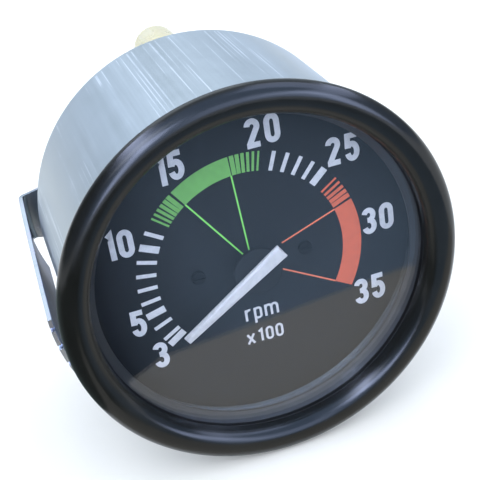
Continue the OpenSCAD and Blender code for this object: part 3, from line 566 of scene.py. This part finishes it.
# %% Helpers for Geometry Nodes
def open_tree(name, counts, numbers, finish):
    """A Geometry Nodes tree with named inputs; returns it with its input sockets by name."""
    tree = bpy.data.node_groups.new(name, "GeometryNodeTree")
    for kind, labels in (("Int", counts), ("Float", numbers), ("Material", finish)):
        for label in labels.split(", "):
            tree.interface.new_socket(name=label, in_out="INPUT", socket_type="NodeSocket" + kind)
    tree.interface.new_socket(name="Geometry", in_out="OUTPUT", socket_type="NodeSocketGeometry")
    return tree, step(tree, "NodeGroupInput")


def close_tree(tree, geometry, finish):
    """Ends a tree: realize, set the material, output."""
    real = step(tree, "GeometryNodeRealizeInstances", {"Geometry": geometry})[0]
    dressed = step(tree, "GeometryNodeSetMaterial", {"Geometry": real, "Material": finish})[0]
    step(tree, "NodeGroupOutput", {"Geometry": dressed})
    print("tree", tree.name, "has", len(tree.nodes), "nodes")
    return tree


def round_axis(tree, radius, angle, depth):
    """The place at a radius and an angle round the instrument's axis, clockwise from the top."""
    return step(tree, "ShaderNodeCombineXYZ", {
        "X": times(tree, radius, maths(tree, "SINE", angle)), "Y": depth,
        "Z": times(tree, radius, maths(tree, "COSINE", angle))})[0]


def grow(tree, name, values):
    """Runs a tree with these values and returns the result as a plain mesh."""
    holder = put_in_scene(name + "_rule", bpy.data.meshes.new(name + "_rule"))
    modifier = holder.modifiers.new("rule", "NODES")
    modifier.node_group = tree
    for item in tree.interface.items_tree:
        if item.in_out == "INPUT" and item.name in values:
            modifier[item.identifier] = values[item.name]
    graph = bpy.context.evaluated_depsgraph_get()
    mesh = bpy.data.meshes.new_from_object(holder.evaluated_get(graph))
    mesh.materials.clear()
    mesh.materials.append(next(v for v in values.values() if isinstance(v, bpy.types.Material)))
    holder.modifiers.remove(modifier)
    bpy.data.objects.remove(holder)
    return mesh


def join_piece(name, meshes, body):
    """Joins plain meshes into one piece at the origin that rides on a body."""
    work = bmesh.new()
    materials = list(dict.fromkeys(mesh.materials[0] for mesh in meshes))
    for mesh in meshes:
        start = len(work.faces)
        work.from_mesh(mesh)
        work.faces.ensure_lookup_table()
        for face in work.faces[start:]:
            face.material_index = materials.index(mesh.materials[0])
    joined = bpy.data.meshes.new(name)
    work.to_mesh(joined)
    work.free()
    for material in materials:
        joined.materials.append(material)
    piece = put_in_scene(name, joined)
    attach(piece, body)
    print(name, len(joined.polygons), "faces")
    return piece


# %% [markdown]
# ## The scale's marks
# Each mark is a bar that stands across the scale's circle. The tree places points on the circle, one for each
# mark, and puts a bar on each, turned to the point's angle. The width may change along the run, which also makes
# the combs where a coloured band begins: bars that grow until they close into the solid band.

# %% The tree for marks
tree, given = open_tree(
    "scale_marks", "Count",
    "First angle, Angle step, Inner radius, Outer radius, First width, Last width, Face, Film", "Ink")
index = step(tree, "GeometryNodeInputIndex")[0]
angle = plus(tree, given["First angle"], times(tree, index, given["Angle step"]))
middle = times(tree, plus(tree, given["Inner radius"], given["Outer radius"]), 0.5)
height = minus(tree, given["Outer radius"], given["Inner radius"])
last = maths(tree, "MAXIMUM", minus(tree, given["Count"], 1.0), 1.0)
width = between(tree, maths(tree, "DIVIDE", index, last), given["First width"], given["Last width"], 0, 1)
points = step(tree, "GeometryNodePoints", {
    "Count": given["Count"], "Position": round_axis(tree, middle, angle, given["Face"])})[0]
bars = step(tree, "GeometryNodeInstanceOnPoints", {
    "Points": points, "Instance": step(tree, "GeometryNodeMeshCube", {"Size": (1, 1, 1)})[0],
    "Rotation": step(tree, "ShaderNodeCombineXYZ", {"Y": angle})[0],
    "Scale": step(tree, "ShaderNodeCombineXYZ", {"X": width, "Y": given["Film"], "Z": height})[0]})[0]
marks_tree = close_tree(tree, bars, given["Ink"])

# %% [markdown]
# ## The solid bands
# The green and the red band are arcs. A flat slab with many cuts along its length is bent round the dial's
# centre: its length becomes the angle and its height the radius.

# %% The tree for bands
tree, given = open_tree(
    "scale_band", "Cuts", "First angle, Last angle, Inner radius, Outer radius, Face, Film", "Ink")
slab = step(tree, "GeometryNodeMeshCube", {"Size": (1, 1, 1), "Vertices X": given["Cuts"]})[0]
x, y, z = apart(tree, step(tree, "GeometryNodeInputPosition")[0])
angle = between(tree, x, given["First angle"], given["Last angle"], -0.5, 0.5)
radius = between(tree, z, given["Inner radius"], given["Outer radius"], -0.5, 0.5)
depth = plus(tree, given["Face"], times(tree, y, given["Film"]))
bent = round_axis(tree, radius, angle, depth)
arc = step(tree, "GeometryNodeSetPosition", {"Geometry": slab, "Position": bent})[0]
band_tree = close_tree(tree, arc, given["Ink"])

# %% [markdown]
# ## Running the rules
# The dial reads from 3 to 35 hundreds of turns a minute. Its steps are not even, because the movement's needle
# does not turn evenly: about 7.7 degrees a hundred at first and 7.1 near the end. So the marks come in runs, each
# with its own first angle and step. The film stands 0.04 mm in front of the dial and goes a little way into it.

# %% The printed scale
dial_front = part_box("dial_plate")[0].y
film = 0.06 * MM
film_front, film_back = dial_front - 0.7 * film, dial_front + 0.3 * film
on_dial = {"Face": (film_front + film_back) / 2, "Film": film}
scale_inner, scale_outer = 26.25 * MM, 31.65 * MM
minor, major = 1.1 * MM, 2.0 * MM
hair, thin, wide, widest = 0.42 * MM, 0.55 * MM, 1.2 * MM, 1.35 * MM


def marks(count, first, turn, width, last_width=None, ink_used=white_ink, inner=scale_inner, outer=scale_outer):
    """One run of marks; angles in degrees, clockwise from the top."""
    return grow(marks_tree, "marks", {
        "Count": count, "First angle": math.radians(first), "Angle step": math.radians(turn),
        "Inner radius": inner, "Outer radius": outer, "First width": width,
        "Last width": last_width or width, "Ink": ink_used, **on_dial})


def band(first, last_angle, ink_used):
    """One solid band between two angles."""
    return grow(band_tree, "band", {
        "Cuts": 72, "First angle": math.radians(first), "Last angle": math.radians(last_angle),
        "Inner radius": scale_inner, "Outer radius": scale_outer, "Ink": ink_used, **on_dial})


def thin_line(angle, ink_used, inner_mm):
    """One hairline from inner_mm out to the band."""
    return marks(1, angle, 0, hair, ink_used=ink_used, inner=inner_mm * MM, outer=scale_inner + film)


white_marks = [
    marks(1, -124.4, 0, major), marks(2, -120.1, 8.0, minor), marks(2, -104.0, 38.6, major),
    marks(4, -96.3, 7.72, minor), marks(1, -57.7, 0, minor), marks(4, 19.2, 7.1, minor), marks(1, 47.6, 0, major)]
green_marks = [
    marks(6, -50.0, 2.55, thin, wide, green_ink), band(-34.8, -3.8, green_ink),
    marks(6, -2.0, 2.7, wide, thin, green_ink)]
red_marks = [
    marks(5, 55.9, 3.0, thin, widest, red_ink), band(70.5, 120.2, red_ink)]
green_lines = [thin_line(angle, line_green, 3.0) for angle in (-34.6, -4.0)]
red_lines = [thin_line(angle, line_red, 9.5) for angle in (70.7, 120.0)]
join_piece("scale_white", white_marks, "root")
join_piece("scale_green", green_marks + green_lines, "root")
join_piece("scale_red", red_marks + red_lines, "root")

# %% [markdown]
# ## Figures and unit words
# The figures are a bold condensed grotesque, drawn as the old sign painters did: a line down the middle of each
# stroke, and one even width. A ribbon along that line is a closed strip with mitred corners. Each figure is drawn
# in a box of height one and scaled to its height on the dial.

# %% Ribbons
def arc_points(centre, a, b, start, end, steps=20):
    """Points on an ellipse, from one angle to another, in degrees."""
    turns = [math.radians(start + (end - start) * i / steps) for i in range(steps + 1)]
    return [(centre[0] + a * math.cos(turn), centre[1] + b * math.sin(turn)) for turn in turns]


def ribbon(work, points, width, closed, origin, size, front, back):
    """Adds a strip of even width along points to a bmesh, from front to back."""
    points = [Vector(p) for p in points]
    count = len(points)
    sides = []
    for i, point in enumerate(points):
        before = points[i - 1] if closed or i else None
        after = points[(i + 1) % count] if closed or i < count - 1 else None
        into = (point - before).normalized() if before is not None else (after - point).normalized()
        out = (after - point).normalized() if after is not None else into
        normal = Vector((-(into + out).y, (into + out).x)).normalized()
        reach = width / 2 / max(0.35, normal.dot(Vector((-into.y, into.x))))
        sides.append((point + normal * reach, point - normal * reach))
    rows = []
    for pair in sides:
        at = [(origin[0] + p.x * size, origin[1] + p.y * size) for p in pair]
        rows.append([work.verts.new((px, depth, pz)) for depth in (front, back) for px, pz in at])
    for i in range(count if closed else count - 1):
        this, other = rows[i], rows[(i + 1) % count]
        for a, b in ((0, 1), (1, 3), (3, 2), (2, 0)):
            work.faces.new((this[a], this[b], other[b], other[a]))
    if not closed:
        work.faces.new([rows[0][k] for k in (0, 2, 3, 1)])
        work.faces.new([rows[-1][k] for k in (0, 1, 3, 2)])


# %% [markdown]
# Each glyph is a list of strokes. A stroke is a list of points and says whether it closes on itself. The zero is
# a tall loop with straight flanks, the one has a slanted flag, and the three, five and two are arcs and bars.

# %% Glyph lines
stroke = 0.195
zero = arc_points((0, 0.21), 0.165, 0.2, 0, 180) + arc_points((0, -0.21), 0.165, 0.2, 180, 360)
glyphs = {
    "0": [(zero, True)],
    "1": [([(-0.06, 0.33), (0.035, 0.41), (0.035, -0.5)], False)],
    "2": [(arc_points((0, 0.235), 0.165, 0.175, 175, -25) + [(-0.145, -0.38)], False),
          ([(-0.235, -0.41), (0.215, -0.41)], False)],
    "3": [(arc_points((-0.005, 0.225), 0.16, 0.185, 165, -75), False),
          (arc_points((-0.005, -0.195), 0.17, 0.215, 75, -165), False),
          ([(-0.06, 0.03), (0.05, 0.03)], False)],
    "5": [([(0.2, 0.41), (-0.13, 0.41), (-0.15, -0.03)], False),
          (arc_points((0, -0.15), 0.165, 0.26, 145, -165, 30), False)],
}


def mesh_of(work, name, material):
    """Turns a bmesh into a plain mesh of one material whose faces point outwards."""
    bmesh.ops.recalc_face_normals(work, faces=work.faces)
    mesh = bpy.data.meshes.new(name)
    work.to_mesh(mesh)
    work.free()
    mesh.materials.append(material)
    return mesh


def write(name, letters, width, size):
    """Prints letters, each given as its strokes and its place in mm; each later stroke lies a hair higher."""
    work = bmesh.new()
    for strokes, place in letters:
        for layer, (points, closed) in enumerate(strokes):
            ribbon(work, points, width, closed, [c * MM for c in place], size * MM,
                   film_front - 0.02 * film * layer, film_back)
    return mesh_of(work, name, white_ink)


# %% [markdown]
# The figures stand upright outside the scale. Their places are measured from the dial's centre, in millimetres.

# %% The figures
figure_high = 7.95
figure_places = {
    "3": [(-29.1, -20.25)], "5": [(-33.3, -8.7)], "10": [(-35.9, 15.5), (-32.0, 15.4)],
    "15": [(-19.3, 32.2), (-15.5, 33.05)], "20": [(5.45, 36.15), (10.7, 36.35)],
    "25": [(26.35, 25.35), (31.55, 25.35)], "30": [(34.4, 2.3), (39.5, 2.45)],
    "35": [(30.05, -19.0), (35.15, -18.7)],
}
figures = [write("figure_" + text, [(glyphs[digit], place) for digit, place in zip(text, places)],
                 stroke, figure_high) for text, places in figure_places.items()]
join_piece("scale_figures", figures, "root")

# %% [markdown]
# The words are smaller and lighter, so their strokes are given again as short lines in millimetres.

# %% The unit words
word_stroke = 0.68
r_line = [([(0, 0), (0, 3.6)], False), (arc_points((1.05, 2.3), 1.05, 1.05, 180, 75, 10), False)]
p_line = [([(0, -1.25), (0, 3.6)], False),
          (arc_points((0.85, 2.75), 0.85, 0.6, 0, 180) + arc_points((0.85, 0.85), 0.85, 0.6, 180, 360), True)]
m_line = [([(0, 0), (0, 3.6)], False),
          (arc_points((0.85, 2.45), 0.85, 0.9, 180, 0) + [(1.7, 0)], False),
          (arc_points((2.55, 2.45), 0.85, 0.9, 180, 0) + [(3.4, 0)], False)]
x_line = [([(-0.95, 0), (0.95, 3.1)], False), ([(-0.95, 3.1), (0.95, 0)], False)]
one_line = [([(-0.75, 3.2), (0.1, 3.75), (0.1, 0)], False)]
nought_line = [(arc_points((0, 2.85), 0.8, 0.85, 0, 180) + arc_points((0, 0.95), 0.8, 0.85, 180, 360), True)]
upper, lower = -17.8, -25.3
words_mesh = write("unit_words", [
    (r_line, (-3.95, upper)), (p_line, (-1.4, upper)), (m_line, (1.7, upper)), (x_line, (-3.65, lower)),
    (one_line, (-0.5, lower)), (nought_line, (1.85, lower)), (nought_line, (4.75, lower))], word_stroke, 1)
join_piece("scale_words", [words_mesh], "root")

# %% [markdown]
# ## Threads on the mounting studs
# In CAD a stud is a plain bar. The real one has an M5 thread, 0.8 mm a turn. A thread follows a rule: at each
# place the radius depends on how far along and how far round the bar it is. So the tree makes a grid, wraps it
# round the stud and sets each radius from that rule, with the ends drawn in to a chamfer and closed. Wrapped this
# way round the grid's faces look inwards, so they are turned over.

# %% The tree for threads
tree, given = open_tree(
    "stud_thread", "Rings, Sides", "Start, End, Pitch, Crest radius, Depth, Chamfer", "Finish")
grid = step(tree, "GeometryNodeMeshGrid", {
    "Size X": 1.0, "Size Y": 1.0, "Vertices X": given["Rings"], "Vertices Y": given["Sides"]})[0]
across, around, _ = apart(tree, step(tree, "GeometryNodeInputPosition")[0])
along = between(tree, across, given["Start"], given["End"], -0.5, 0.5)
turned = plus(tree, around, 0.5)
phase = maths(tree, "FRACT", minus(tree, maths(tree, "DIVIDE", along, given["Pitch"]), turned))
valley = maths(tree, "ABSOLUTE", minus(tree, times(tree, phase, 2.0), 1.0))
flank = between(tree, valley, 0, 1, 0.12, 0.88)
cut = minus(tree, given["Crest radius"], times(tree, flank, given["Depth"]))
to_end = maths(tree, "MINIMUM", minus(tree, along, given["Start"]), minus(tree, given["End"], along))
drawn_in = plus(tree, minus(tree, given["Crest radius"], given["Chamfer"]), to_end)
nearly_none = 1e-6
closed_end = times(tree, maths(tree, "MINIMUM", cut, drawn_in), maths(tree, "GREATER_THAN", to_end, nearly_none))
wrapped = round_axis(tree, closed_end, times(tree, turned, math.tau), along)
screw = step(tree, "GeometryNodeSetPosition", {"Geometry": grid, "Position": wrapped})[0]
whole = step(tree, "GeometryNodeMergeByDistance", {"Geometry": screw, "Distance": nearly_none})[0]
outward = step(tree, "GeometryNodeFlipFaces", {"Mesh": whole})[0]
smooth = step(tree, "GeometryNodeSetShadeSmooth", {"Geometry": outward})[0]
thread_tree = close_tree(tree, smooth, given["Finish"])

# %% [markdown]
# Two parts are turned: the heads of the studs, inside the rear wall, and the pointer's hub. A lathe helper spins a
# profile of radius and depth about a line along Y. A radius of 0 closes an end.

# %% A small lathe
def turned_mesh(name, profiles, material, sides=48):
    """One plain mesh from (profile, x) pairs: (radius, y) points, in mm, spun about the line at x."""
    work = bmesh.new()
    for profile, x in profiles:
        rows = []
        for radius, depth in profile:
            turns = [math.tau * i / sides for i in range(sides if radius else 1)]
            rows.append([work.verts.new(
                ((x + radius * math.sin(turn)) * MM, depth * MM, radius * math.cos(turn) * MM)) for turn in turns])
        for this, other in zip(rows, rows[1:]):
            for i in range(sides):
                j = (i + 1) % sides
                corners = [this[i % len(this)], this[j % len(this)], other[j % len(other)], other[i % len(other)]]
                corners = list(dict.fromkeys(corners))
                if len(corners) > 2:
                    work.faces.new(corners)
    return mesh_of(work, name, material)


print("lathe ready")

# %% [markdown]
# ## The pointer's hub
# The hub is a thin moulded cap on a narrow neck, so the thin coloured lines of the dial run on under its rim. CAD
# gives it a rim down to the dial. The lathe turns the finer cap inside the same space.

# %% The pointer's hub
hub_low, hub_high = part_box("pointer_hub")
hub_r, hub_front, hub_end = hub_high.x / MM, hub_low.y / MM, hub_high.y / MM
rim, cap, neck_r = 0.35, 1.1, 2.3
hub_profile = [(0, hub_front), (hub_r - rim, hub_front), (hub_r - 0.3 * rim, hub_front + 0.3 * rim),
               (hub_r, hub_front + rim), (hub_r, hub_front + cap), (neck_r, hub_front + cap + 0.3),
               (neck_r, hub_end), (0, hub_end)]
hub = join_piece("hub_cap", [turned_mesh("hub_cap", [(hub_profile, 0)], hub_black)], "needle")
shade_smooth(hub.data, 50)
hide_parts("pointer_hub")

# %% [markdown]
# Now the studs. The tree's rod is copied to both places and joined with the two heads.

# %% The studs
stud_low, stud_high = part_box("mounting_studs")
stud_place, thread_r = 30, 2.5
wall_in = stud_low.y / MM
head_r = (stud_high.x - stud_low.x) / 2 / MM - stud_place
head_profile = [(0, wall_in), (head_r, wall_in), (head_r, wall_in + 1.0), (0, wall_in + 1.0)]
heads_mesh = turned_mesh("stud_heads", [(head_profile, side * stud_place) for side in (-1, 1)], zinc_turned)
thread = grow(thread_tree, "stud", {
    "Rings": 300, "Sides": 33, "Start": (wall_in + 0.5) * MM, "End": stud_high.y, "Pitch": 0.8 * MM,
    "Crest radius": thread_r * MM, "Depth": 0.42 * MM, "Chamfer": 0.6 * MM, "Finish": zinc_turned})
pair = []
for side in (-1, 1):
    copy = thread.copy()
    copy.transform(Matrix.Translation((side * stud_place * MM, 0, 0)))
    pair.append(copy)
studs = join_piece("threaded_studs", pair + [heads_mesh], "root")
shade_smooth(studs.data, 50)
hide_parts("mounting_studs")

# %% [markdown]
# ## The table and the light
# The instrument lies on a plain pale table under soft light from a window behind and a box at the upper left.
# Black paint shows mostly what it mirrors. So two long tubes hang over it from front to back and give the two
# soft highlights along the bezel. Three sheets low in front and one high at the right light its lower and its
# upper edge, and the tent's walls are bluer in front and dim at the sides. Only mirror rays see all these. Other
# surfaces get an even light that is stronger in front, for the dial, and the camera itself sees a pale backdrop.

# %% Table, lamps and world
def plane(name, height, corners, material):
    """A flat stage piece with these corners, at one height, in mm."""
    mesh = bpy.data.meshes.new(name)
    mesh.from_pydata([(x * MM, y * MM, height * MM) for x, y in corners], [], [range(len(corners))])
    mesh.materials.append(material)
    piece = put_in_scene(name, mesh)
    return piece


table_z, table_half = cad_box[0][2] / MM - 0.1, 3000
pale = new_finish("pale_table", (0.9, 0.89, 0.87), 0.7)
paint(pale, grain(pale, 60, detail=3), (0.3, (0.89, 0.88, 0.86)), (0.7, (0.91, 0.9, 0.88)))
plane("table", table_z, [(x * table_half, y * table_half) for x, y in ((-1, -1), (1, -1), (1, 1), (-1, 1))], pale)


def soft_lamp(name, place, target, size, power, colour):
    """A rectangular soft lamp at place, turned to target, in metres and watts."""
    data = bpy.data.lights.new(name, "AREA")
    data.shape = "RECTANGLE"
    data.size, data.size_y = size
    data.energy = power
    data.color = colour
    lamp = put_in_scene(name, data)
    lamp.location = place
    lamp.rotation_mode = "QUATERNION"
    lamp.rotation_quaternion = (Vector(target) - Vector(place)).to_track_quat("-Z", "Y")
    return lamp


sky_blue = (0.6, 0.69, 1.0)
for name, place, target, size, power in (
        ("left_tube", (-0.5, -1.0, 0.75), (0, -1.0, 0), (3.0, 0.2), 30.0),
        ("right_tube", (0.73, -1.0, 0.53), (0, -1.0, 0), (3.0, 0.2), 9.5),
        ("left_strip", (-0.42, -1.22, 0.42), (0, 0, 0), (0.35, 0.9), 11.0),
        ("right_strip", (1.0, -1.08, 0.3), (0, 0, 0), (0.5, 0.6), 5.0),
        ("front_strip", (0.42, -0.95, 0.3), (0, 0, 0), (0.9, 0.5), 3.5),
        ("high_sheet", (0.6, -0.1, 0.92), (0, 0, 0), (0.8, 0.7), 5.5)):
    lamp = soft_lamp(name, place, target, size, power, sky_blue)
    lamp.visible_diffuse = lamp.visible_transmission = False
soft_lamp("window", (-0.1, 0.8, 0.8), (0, 0.02, 0), (0.9, 0.6), 2.0, (0.86, 0.93, 1.0))
soft_lamp("front_box", (-0.6, -0.7, 0.9), (0, 0, 0), (0.5, 0.5), 2.5, (0.9, 0.95, 1.0))

front_wall, back_wall = (1.0, 1.48, 2.45), (0.75, 0.89, 1.06)
world = bpy.data.worlds.new("tent")
bpy.context.scene.world = world
world.use_nodes = True
tree = world.node_tree
x, y, _ = apart(tree, step(tree, "ShaderNodeTexCoord")["Generated"])
walls = ramp(tree, between(tree, y, 0, 1, -1, 1), ((0.4, front_wall), (0.65, back_wall)))
left_side = between(tree, x, 0.12, 1, -0.8, -0.35)
right_side = between(tree, x, 1, 0.35, 0.5, 0.9)
mirrored = step(tree, "ShaderNodeBackground", {"Color": walls, "Strength": times(tree, left_side, right_side)})[0]
fill = between(tree, y, 1.85, 0.95, -0.4, 0.4)
even = step(tree, "ShaderNodeBackground", {"Color": (0.9, 0.95, 1.0, 1), "Strength": fill})[0]
backdrop = step(tree, "ShaderNodeBackground", {"Color": (0.93, 0.94, 0.96, 1), "Strength": 1.1})[0]
path = step(tree, "ShaderNodeLightPath")
light = step(tree, "ShaderNodeMixShader", {0: path["Is Glossy Ray"], 1: even, 2: mirrored})[0]
tent = step(tree, "ShaderNodeMixShader", {0: path["Is Camera Ray"], 1: light, 2: backdrop})[0]
tree.links.new(tent, tree.nodes["World Output"].inputs["Surface"])
print("table at z =", round(table_z, 2), "mm")

# %% [markdown]
# ## What the glass mirrors
# Flat glass is a mirror, so its look is set by what stands in front. In the lower part it mirrors a sheet of
# white paper close by, and higher up a grey-blue card that lies further off and fades towards its left and its
# far edge, with a dark cloth at its left. The cloth goes on along the instrument's left side, where it darkens
# the bezel, and is paler towards the back, for the case. A tab of the paper reaches out at the left, for the
# bracket's foot. All three show only to rays that come from mirrors or through the glass, so they throw no light
# and no shadow.

# %% Card and cloth
def card(name, height, colour, corners, strength=lambda tree, x, y: 1.0):
    """A shining stage piece that only mirror rays see; its strength follows the place on it."""
    material = bpy.data.materials.new(name)
    material.use_nodes = True
    tree = material.node_tree
    tree.nodes.clear()
    x, y, _ = apart(tree, own_place(tree))
    shine = step(tree, "ShaderNodeEmission", {"Color": (*colour, 1), "Strength": strength(tree, x, y)})[0]
    step(tree, "ShaderNodeOutputMaterial", {"Surface": shine})
    piece = plane(name, height, corners, material)
    piece.visible_camera = piece.visible_diffuse = piece.visible_shadow = False


card_z = table_z + 1
paper_z = card_z + 0.2
joint = [(-23, -56), (22.7, -61), (57.8, -65.3), (150, -75)]
card("grey_card", card_z, (0.35, 0.52, 0.76), [(-37, -47.1), *joint, (300, -420), (-37, -420)],
     lambda tree, x, y: times(tree, between(tree, x, 0.1, 1, -0.034, 0.006), between(tree, y, 0.5, 1, -0.24, -0.09)))
card("dark_cloth", card_z, (0.05, 0.065, 0.068),
     [(-37, -47.1), (-37, -420), (-420, -420), (-420, 160), (-64, 160), (-64, -30)],
     lambda tree, x, y: between(tree, y, 0.9, 5, -0.04, 0.05))
card("near_paper", paper_z, (0.84, 0.83, 0.8),
     [(-66, -88), (-44, -88), (-44, -42.7), *joint, (150, -20), (64, -6), (-66, -6)])
print("cards at z =", round(card_z, 2), "mm")
